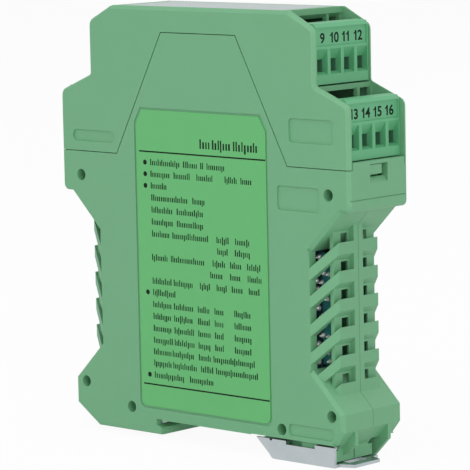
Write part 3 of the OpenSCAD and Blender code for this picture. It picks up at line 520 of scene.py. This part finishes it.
@dataclass
class TerminalBank:
    """One terminal block with its screws, cages, bars, wire funnels and pole numbers.

    The print's sizes are in metres, and its flag and cap height are shares of a digit's size. The funnels' sizes are in
    mm: the corners of a profile are depths behind the block's front and heights over its bottom.
    """

    first: int
    end: End
    poles: int = 4
    digit_height: float = 2.4 * MM
    digit_stretch: float = 1.05
    digit_swell: float = 0.085 * MM
    cap_share: float = 0.70
    advance: float = 1.55 * MM
    flag_place: Pair = (-0.17, 0.335)
    flag_size: Pair = (0.36, 0.15)
    flag_turn: float = 38.0
    first_y: float = -6.9 * MM
    pitch: float = 4.43 * MM
    field_sink: float = 0.4 * MM
    field_rise: float = 11.15 * MM
    ink: float = 0.02 * MM
    pole_pitch: float = 5.0
    funnel_half: float = 1.96
    lead_ins: Sequence[Sequence[Pair]] = (
        ((0.03, 8.62), (1.7, 6.05), (3.4, 6.05), (3.4, 6.2)),
        ((0.03, 2.38), (1.2, 2.95), (3.4, 2.95), (3.4, 2.5)),
    )
    # corners of the sheets of painted shade in each wire hole, and their thickness below
    mouth: Sequence[Pair] = ((1.72, 2.95), (1.72, 6.05), (3.5, 6.05), (3.5, 2.95))
    mouth_sheet: float = 0.16

    @property
    def span(self) -> str:
        """Names the bank by its first and last pole."""
        return f"{self.first}_{self.first + self.poles - 1}"

    @cached_property
    def corner(self) -> Pair:
        """Gives the block's front along X and its bottom along Z, in metres."""
        low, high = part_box("terminal_block_" + self.span)
        return (high.x if self.end is End.LATCH else low.x), low.z

    def build(self) -> None:
        """Dresses the block, shapes its wire funnels and prints its numbers."""
        dress("terminal_block_" + self.span, BLOCK_GREEN)
        dress("clamp_screws_" + self.span, PLATED_STEEL)
        dress("cage_clamps_" + self.span, PLATED_STEEL)
        dress("current_bars_" + self.span, TINNED_BRASS)
        self.funnel_lead_ins()
        self.clamp_mouths()
        self.number_row()

    def _add_slice(self, bm: bmesh.types.BMesh, profile: Sequence[Pair], y0: float, y1: float) -> None:
        """Adds a prism across the block.

        Args:
            bm: the geometry that takes it.
            profile: its corners.
            y0: where it starts, in mm.
            y1: where it ends, in mm.
        """
        front, bottom = self.corner
        corners = [(front - self.end.value * depth * MM, y0 * MM, bottom + rise * MM) for depth, rise in profile]
        add_prism(bm, corners, (0.0, (y1 - y0) * MM, 0.0))

    def _pole_places(self) -> Sequence[float]:
        """Gives the middles of the poles along Y in mm."""
        return [(k - (self.poles - 1) / 2) * self.pole_pitch for k in range(self.poles)]

    def funnel_lead_ins(self) -> bpy.types.Object:
        """Adds the slanted roof and the sill that lead a wire into each clamp.

        Returns:
            The lead-ins as one piece.
        """
        bm = bmesh.new()
        for y in self._pole_places():
            for profile in self.lead_ins:
                self._add_slice(bm, profile, y - self.funnel_half, y + self.funnel_half)
        bmesh.ops.recalc_face_normals(bm, faces=bm.faces)
        return add_piece(f"lead_ins_{self.span}", bm, BLOCK_GREEN)

    def clamp_mouths(self) -> bpy.types.Object:
        """Adds dark sheets of painted shade on both side walls of each wire hole behind its lead-in, standing in for
        the shade in the clamp's mouth.

        Returns:
            The sheets of painted shade as one piece.
        """
        bm = bmesh.new()
        for y in self._pole_places():
            for hand in (-1, 1):
                wall = y + hand * self.funnel_half
                self._add_slice(bm, self.mouth, wall, wall - hand * self.mouth_sheet)
        bmesh.ops.recalc_face_normals(bm, faces=bm.faces)
        return add_piece(f"clamp_mouths_{self.span}", bm, HOLE_SHADE_PAINT)

    def number_row(self) -> bpy.types.Object:
        """Prints the pole numbers on the block's number field.

        Returns:
            The printed numbers as one piece.
        """
        front, bottom = self.corner
        side = self.end.value
        turn = Matrix(((0, 0, side), (side, 0, 0), (0, 1, 0))).to_4x4()
        bm = bmesh.new()
        for k in range(self.poles):
            y = side * (self.first_y + k * self.pitch)
            place = Matrix.Translation((front - side * self.field_sink, y, bottom + self.field_rise)) @ turn
            self._add_number(bm, self.first + k, place)
        return add_piece(f"numbers_{self.span}", bm, PRINT_INK)

    def _add_number(self, bm: bmesh.types.BMesh, number: int, place: Matrix) -> None:
        """Adds one number digit by digit, each 1 with a flag.

        Args:
            bm: the geometry that takes it.
            number: what it reads.
            place: from the number's own plane, facing +Z, to the block.
        """
        digits = str(number)
        for k, digit in enumerate(digits):
            spot = place @ Matrix.Translation(((k - (len(digits) - 1) / 2) * self.advance, 0.0, 0.0))
            self._add_digit(bm, digit, spot)
            if digit == "1":
                flag = Matrix.Translation((*(share * self.digit_height for share in self.flag_place), 0.0))
                sides = (share * self.digit_height for share in self.flag_size)
                turn = Matrix.Rotation(math.radians(self.flag_turn), 4, "Z")
                shape = Matrix.Diagonal((*sides, 2 * self.ink, 1.0))
                bmesh.ops.create_cube(bm, size=1.0, matrix=spot @ flag @ turn @ shape)

    def _add_digit(self, bm: bmesh.types.BMesh, digit: str, place: Matrix) -> None:
        """Adds one digit, made a mesh before it is put in place.

        Args:
            bm: the geometry that takes it.
            digit: what it reads.
            place: from the digit's own plane, facing +Z, to the block.
        """
        curve = bpy.data.curves.new("number", "FONT")
        curve.body = digit
        curve.align_x = "CENTER"
        curve.align_y = "CENTER"
        curve.size = self.digit_height / self.cap_share
        curve.offset = self.digit_swell
        curve.extrude = self.ink
        text = bpy.data.objects.new("number", curve)
        bpy.context.scene.collection.objects.link(text)
        graph = bpy.context.evaluated_depsgraph_get()
        mesh = bpy.data.meshes.new_from_object(text.evaluated_get(graph))
        mesh.transform(place @ Matrix.Diagonal((self.digit_stretch, 1.0, 1.0, 1.0)))
        bm.from_mesh(mesh)
        bpy.data.objects.remove(text)
        bpy.data.curves.remove(curve)
        bpy.data.meshes.remove(mesh)


@dataclass(frozen=True)
class PrintLine:
    """One printed line of the label: its height and the ends of its words, all in mm."""

    z: float
    words: Sequence[Pair]
    bullet: bool = False


def repeated_line(z: float) -> PrintLine:
    """Gives one of the four like lines of the label's second list.

    Args:
        z: its height in mm.

    Returns:
        The line.
    """
    return PrintLine(z, ((-17.6, -10.9), (-10.2, -3.3), (-1.8, 2.4), (4.0, 7.0), (10.8, 16.6)))


@dataclass
class RatingLabel:
    """The label film and its plain print: rules, bullets and lines of greeked words.

    Sizes are in mm. The drop from a line's height to its foot, a tall stroke and a tail below the foot are multiples of
    the height of a low stroke.
    """

    node: str = "rating_label"
    ink: float = 0.02
    word_height: float = 1.15
    title_height: float = 1.7
    foot_drop: float = 0.6
    tall: float = 1.42
    tall_chance: float = 0.25
    tail: float = 0.35
    tail_chance: float = 0.08
    stroke: Pair = (0.27, 0.40)
    stroke_gap: Pair = (0.24, 0.38)
    seed: int = 11
    rules: Sequence[tuple[float, float, float]] = ((74.9, -21.4, 22.3), (14.5, -21.6, 22.3))
    rule_half: float = 0.19
    bullet_x: float = -19.4
    bullet_half: float = 0.65
    bullet_round: float = 0.95
    title: PrintLine = PrintLine(77.6, ((0.0, 3.6), (4.3, 10.8), (11.5, 19.6)))
    lines: Sequence[PrintLine] = (
        PrintLine(72.1, ((-17.5, -6.7), (-5.9, -0.6), (0.1, 1.2), (2.3, 8.6)), True),
        PrintLine(69.1, ((-17.5, -10.7), (-9.3, -3.3), (-1.3, 4.5), (8.4, 12.9), (13.8, 17.5)), True),
        PrintLine(66.1, ((-17.5, -11.5),), True),
        PrintLine(63.0, ((-17.4, -4.5), (-2.9, 1.3))),
        PrintLine(59.9, ((-17.4, -10.0), (-8.5, 0.7))),
        PrintLine(56.8, ((-17.4, -10.0), (-8.5, 0.7))),
        PrintLine(53.7, ((-17.4, -11.2), (-10.2, 2.3), (5.2, 9.6), (11.6, 16.4))),
        PrintLine(50.8, ((5.4, 9.3), (11.4, 16.6))),
        PrintLine(47.6, ((-17.6, -11.7), (-10.9, 0.8), (3.7, 7.9), (9.7, 13.7), (15.5, 20.2))),
        PrintLine(44.6, ((2.8, 7.3), (9.6, 13.6), (15.6, 20.6))),
        PrintLine(41.5, ((-17.6, -10.7), (-10.1, -3.4), (-0.9, 3.1), (4.9, 8.6), (10.1, 14.2), (15.9, 19.9))),
        PrintLine(38.5, ((-17.5, -9.6),), True),
        *(repeated_line(z) for z in (35.4, 32.3, 29.2, 26.1)),
        PrintLine(23.1, ((-17.7, -11.5), (-11.0, -3.3), (-1.8, 2.6), (3.3, 17.4))),
        PrintLine(20.1, ((-17.7, -11.5), (-10.9, -2.6), (-1.1, 3.2), (4.1, 18.5))),
        PrintLine(17.0, ((-17.6, -6.9), (-5.1, 3.3)), True),
    )

    def build(self) -> None:
        """Dresses the film and prints it."""
        dress(self.node, LABEL_FILM)
        self.print_rules()
        self.print_lines()

    @cached_property
    def front(self) -> float:
        """Gives the film's front face in metres."""
        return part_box(self.node)[0].y

    def _add_mark(self, bm: bmesh.types.BMesh, x: Pair, z: Pair, corner: float = 0.0) -> None:
        """Adds one bar of ink on the film's front.

        Args:
            bm: the geometry that takes it.
            x: its ends along X.
            z: its ends along Z.
            corner: radius of its corners.
        """
        low = (x[0] * MM, self.front - self.ink * MM, z[0] * MM)
        add_bar(bm, low, (x[1] * MM, self.front, z[1] * MM), corner * MM)

    def print_rules(self) -> bpy.types.Object:
        """Prints the rules, the bullets and the words of the title.

        Returns:
            The printed piece.
        """
        bm, half = bmesh.new(), self.bullet_half
        for z, x0, x1 in self.rules:
            self._add_mark(bm, (x0, x1), (z - self.rule_half, z + self.rule_half))
        for line in (one for one in self.lines if one.bullet):
            self._add_mark(bm, (self.bullet_x - half, self.bullet_x + half), (line.z - half, line.z + half),
                           half * self.bullet_round)
        self._add_words(bm, self.title, self.title_height, Random(self.seed))
        return add_piece("label_rules", bm, PRINT_INK)

    def print_lines(self) -> bpy.types.Object:
        """Prints the lines of greeked words.

        Returns:
            The printed piece.
        """
        bm, rng = bmesh.new(), Random(self.seed)
        for line in self.lines:
            self._add_words(bm, line, self.word_height, rng)
        return add_piece("label_lines", bm, LINE_INK)

    def _add_words(self, bm: bmesh.types.BMesh, line: PrintLine, height: float, rng: Random) -> None:
        """Adds the words of one line as rows of plain strokes, the first of each row tall.

        Args:
            bm: the geometry that takes them.
            line: the line.
            height: height of a low stroke in mm.
            rng: picks the strokes.
        """
        scale, base = height / self.word_height, line.z - self.foot_drop * height
        for x, end in line.words:
            first = True
            while x < end - self.stroke[0]:
                width = min(rng.uniform(*self.stroke) * scale, end - x)
                top = height * (self.tall if first or rng.random() < self.tall_chance else 1.0)
                low = -self.tail * height if not first and rng.random() < self.tail_chance else 0.0
                self._add_mark(bm, (x, x + width), (base + low, base + top))
                x += width + rng.uniform(*self.stroke_gap) * scale
                first = False


@dataclass
class Electronics:
    """The circuit board, what stands on it, and the solder joints on its near side.

    The joints' places are distances from the middle plane and heights, in mm; the rows are the lowest, the highest and
    their pitch. A joint's cone and lead are shares of its radius on the board.
    """

    board: str = "circuit_board"
    cases: Sequence[tuple[str, Finish]] = (
        ("transformer_core", FERRITE),
        ("transformer_winding", WINDING_TAPE),
        ("capacitors", CAPACITOR_SLEEVE),
        ("optocouplers", PALE_CASE),
        ("amplifier_chips", DARK_CASE),
    )
    joint_columns: Sequence[float] = (32.6, 34.4, 36.2, 38.0)
    joint_rows: tuple[float, float, float] = (25.2, 51.5, 2.2)
    joint_jitter: Pair = (0.3, 0.5)
    joint_gaps: float = 0.2
    top_joints: Sequence[Pair] = ((35.2, 51.2), (36.8, 51.1))
    joint_radius: float = 0.85 * MM
    joint_sizes: Pair = (0.75, 1.15)
    joint_sides: int = 10
    cone_top: float = 0.55
    cone_rise: float = 0.6
    lead_steps: Sequence[Pair] = ((0.55, 0.45), (0.73, 0.5))
    seed: int = 7

    def build(self) -> None:
        """Dresses the board and its parts, and solders it."""
        dress(self.board, BOARD_TEAL_AND_SHADE)
        for node, finish in self.cases:
            dress(node, finish)
        self.solder_side()

    def solder_side(self) -> bpy.types.Object:
        """Adds the solder joints that show through the louvres.

        Returns:
            The joints as one piece.
        """
        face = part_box(self.board)[0].y
        rng = Random(self.seed)
        bm = bmesh.new()
        low, high, step = self.joint_rows
        stray_x, stray_z = self.joint_jitter
        rows = int((high - low) / step) + 1
        for end in End:
            for column in self.joint_columns:
                for k in range(rows):
                    if rng.random() < self.joint_gaps:
                        continue
                    x = end.value * (column + rng.uniform(-stray_x, stray_x)) * MM
                    z = (low + k * step + rng.uniform(-stray_z, stray_z)) * MM
                    self._add_joint(bm, Vector((x, face, z)), self.joint_radius * rng.uniform(*self.joint_sizes))
            for column, height in self.top_joints:
                self._add_joint(bm, Vector((end.value * column * MM, face, height * MM)), self.joint_radius)
        return add_piece("solder_joints", bm, SOLDER, smooth=True)

    def _add_joint(self, bm: bmesh.types.BMesh, foot: Vector, radius: float) -> None:
        """Adds one solder cone with the cut lead at its tip.

        Args:
            bm: the geometry that takes it.
            foot: its middle on the board.
            radius: its radius on the board.
        """
        out = Matrix.Rotation(math.radians(90), 4, "X")
        middle = foot + Vector((0.0, -self.cone_rise / 2 * radius, 0.0))
        made = bmesh.ops.create_cone(bm, cap_ends=True, segments=self.joint_sides, radius1=radius,
                                     radius2=self.cone_top * radius, depth=self.cone_rise * radius,
                                     matrix=Matrix.Translation(middle) @ out)
        tip = min({f for v in made["verts"] for f in v.link_faces}, key=lambda f: f.calc_center_median().y)
        for shrink, rise in self.lead_steps:
            tip = bmesh.ops.extrude_discrete_faces(bm, faces=[tip])["faces"][0]
            bmesh.ops.translate(bm, verts=tip.verts, vec=(0.0, -rise * radius, 0.0))
            bmesh.ops.scale(bm, verts=tip.verts, vec=(shrink, 1.0, shrink),
                            space=Matrix.Translation(-tip.calc_center_median()))


@dataclass
class RailFoot:
    """The sprung latch, its spring and the contact strip in the hook."""

    spring: str = "latch_spring"
    slide: str = "latch_slide"
    weld: float = 0.001 * MM

    def build(self) -> None:
        """Dresses the metal pieces and puts in a copy of the spring."""
        dress("foot_latch", PLATED_STEEL)
        dress("rail_contact_strip", PLATED_STEEL)
        self.return_spring()

    def return_spring(self) -> bpy.types.Object:
        """Puts in a copy of the spring's coil, with its doubled points welded, and hides the part's own coil.

        Returns:
            The spring.
        """
        bm = bmesh.new()
        bm.from_mesh(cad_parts[self.spring].data)
        bmesh.ops.remove_doubles(bm, verts=bm.verts, dist=self.weld)
        coil = add_piece("return_spring", bm, SPRING_STEEL, smooth=True)
        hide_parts(self.spring)
        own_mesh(coil)
        return coil


def looked_at(tree: Tree) -> Socket:
    """Adds the mask of the rays that see the backdrop, straight, mirrored or through glass.

    Args:
        tree: the nodes of the floor's material or of the world.

    Returns:
        The socket, 1 for such a ray and 0 for light that falls on the object.
    """
    ray = tree.nodes.new("ShaderNodeLightPath")
    seen = add_math(tree, "MAXIMUM", ray.outputs["Is Camera Ray"], ray.outputs["Is Glossy Ray"])
    return add_math(tree, "MAXIMUM", seen, ray.outputs["Is Transmission Ray"])


@dataclass(frozen=True)
class SoftLight:
    """One square soft lamp: where it stands, what it looks at, its side and its power."""

    name: str
    place: Point
    aim: Point
    side: float
    watts: float


@dataclass
class Studio:
    """Camera, floor, lamps and sky.

    Angles are in degrees. The focal length is in pixels of a picture that is image pixels wide, and offset is where the
    middle of the object's top lies from the camera: right, down and ahead.
    """

    azimuth: float = 42.904
    elevation: float = 7.385
    roll: float = -1.158
    focal: float = 3135.1
    image: float = 470.0
    sensor: float = 36.0
    clip: Pair = (0.05, 60.0)
    offset: Point = (-2.025 * MM, -58.041 * MM, 792.82 * MM)
    top: float = 112.0 * MM
    floor_side: float = 14.0
    floor_drop: float = 0.05 * MM
    floor_tone: float = 0.9
    floor_glow: float = 0.945
    sky: float = 0.40
    lamps: Sequence[SoftLight] = (
        SoftLight("key_lamp", (-0.35, -1.25, 0.85), (0.0, 0.0, 0.05), 0.9, 3.7),
        SoftLight("fill_lamp", (1.15, -0.75, 0.45), (0.0, 0.0, 0.06), 0.9, 6.5),
        SoftLight("top_lamp", (0.15, -0.25, 1.60), (0.0, 0.0, 0.10), 1.2, 7.6),
        SoftLight("back_lamp", (-0.10, 1.45, 0.30), (0.0, 0.0, 0.06), 0.8, 5.0),
    )

    def build(self) -> None:
        """Sets up everything that isn't the object."""
        bpy.context.scene.view_settings.view_transform = "Standard"
        self.camera()
        self.floor()
        self.world()
        for lamp in self.lamps:
            self.light(lamp)

    def camera(self) -> bpy.types.Object:
        """Puts the camera where the picture was taken from.

        Returns:
            The camera.
        """
        a, e, r = (math.radians(v) for v in (self.azimuth, self.elevation, self.roll))
        back = Vector((math.sin(a) * math.cos(e), -math.cos(a) * math.cos(e), math.sin(e)))
        right = Vector((math.cos(a), math.sin(a), 0.0))
        down = -back.cross(right)
        row_x = right * math.cos(r) - down * math.sin(r)
        row_y = right * math.sin(r) + down * math.cos(r)
        turn = Matrix((row_x, row_y, -back))
        eye = -(turn.transposed() @ Vector(self.offset)) + Vector((0.0, 0.0, self.top))
        data = bpy.data.cameras.new("camera")
        data.sensor_width = self.sensor
        data.lens = self.focal * self.sensor / self.image
        data.clip_start, data.clip_end = self.clip
        cam = bpy.data.objects.new("camera", data)
        cam.matrix_world = Matrix.Translation(eye) @ Matrix((row_x, -row_y, back)).transposed().to_4x4()
        bpy.context.scene.collection.objects.link(cam)
        bpy.context.scene.camera = cam
        return cam

    def floor(self) -> bpy.types.Object:
        """Lays the pale floor, white to the camera but for the object's shadow.

        Returns:
            The floor.
        """
        bm = bmesh.new()
        bmesh.ops.create_grid(bm, x_segments=1, y_segments=1, size=self.floor_side / 2)
        bmesh.ops.translate(bm, verts=bm.verts, vec=(0.0, 0.0, -self.floor_drop))
        mesh = bpy.data.meshes.new("floor")
        bm.to_mesh(mesh)
        bm.free()
        mesh.materials.append(self._floor_material())
        obj = bpy.data.objects.new("floor", mesh)
        bpy.context.scene.collection.objects.link(obj)
        return obj

    def _floor_material(self) -> bpy.types.Material:
        """Makes the floor's material: pale and matt, lifted to white where it is looked at.

        Returns:
            The material.
        """
        mat = bpy.data.materials.new("floor_white")
        mat.use_nodes = True
        tree = mat.node_tree
        tree.nodes.clear()
        out = tree.nodes.new("ShaderNodeOutputMaterial")
        matt = tree.nodes.new("ShaderNodeBsdfDiffuse")
        matt.inputs["Color"].default_value = (self.floor_tone, self.floor_tone, self.floor_tone, 1.0)
        glow = tree.nodes.new("ShaderNodeEmission")
        mix = tree.nodes.new("ShaderNodeMixShader")
        tree.links.new(add_math(tree, "MULTIPLY", looked_at(tree), self.floor_glow), mix.inputs["Fac"])
        tree.links.new(matt.outputs["BSDF"], mix.inputs[1])
        tree.links.new(glow.outputs["Emission"], mix.inputs[2])
        tree.links.new(mix.outputs["Shader"], out.inputs["Surface"])
        return mat

    def world(self) -> bpy.types.World:
        """Sets the even sky, plain white where it is looked at.

        Returns:
            The world.
        """
        world = bpy.data.worlds.new("sky")
        world.use_nodes = True
        tree = world.node_tree
        tree.nodes.clear()
        out = tree.nodes.new("ShaderNodeOutputWorld")
        mix = tree.nodes.new("ShaderNodeMixShader")
        tree.links.new(looked_at(tree), mix.inputs["Fac"])
        for place, strength in ((1, self.sky), (2, 1.0)):
            dome = tree.nodes.new("ShaderNodeBackground")
            dome.inputs["Color"].default_value = WHITE
            dome.inputs["Strength"].default_value = strength
            tree.links.new(dome.outputs["Background"], mix.inputs[place])
        tree.links.new(mix.outputs["Shader"], out.inputs["Surface"])
        bpy.context.scene.world = world
        return world

    @staticmethod
    def light(lamp: SoftLight) -> bpy.types.Object:
        """Sets up one soft lamp.

        Args:
            lamp: which one.

        Returns:
            The lamp.
        """
        data = bpy.data.lights.new(lamp.name, "AREA")
        data.shape = "SQUARE"
        data.size = lamp.side
        data.energy = lamp.watts
        obj = bpy.data.objects.new(lamp.name, data)
        aim = Vector(lamp.aim) - Vector(lamp.place)
        obj.matrix_world = Matrix.Translation(lamp.place) @ aim.to_track_quat("-Z", "Y").to_matrix().to_4x4()
        bpy.context.scene.collection.objects.link(obj)
        return obj


def main() -> None:
    """Builds the classes in order."""
    logging.basicConfig(level=logging.INFO, format="%(name)s: %(message)s")
    Studio().build()
    Enclosure().build()
    for first, end in ((1, End.HOOK), (5, End.HOOK), (9, End.LATCH), (13, End.LATCH)):
        TerminalBank(first, end).build()
    RatingLabel().build()
    Electronics().build()
    RailFoot().build()


if __name__ == "__main__":
    main()
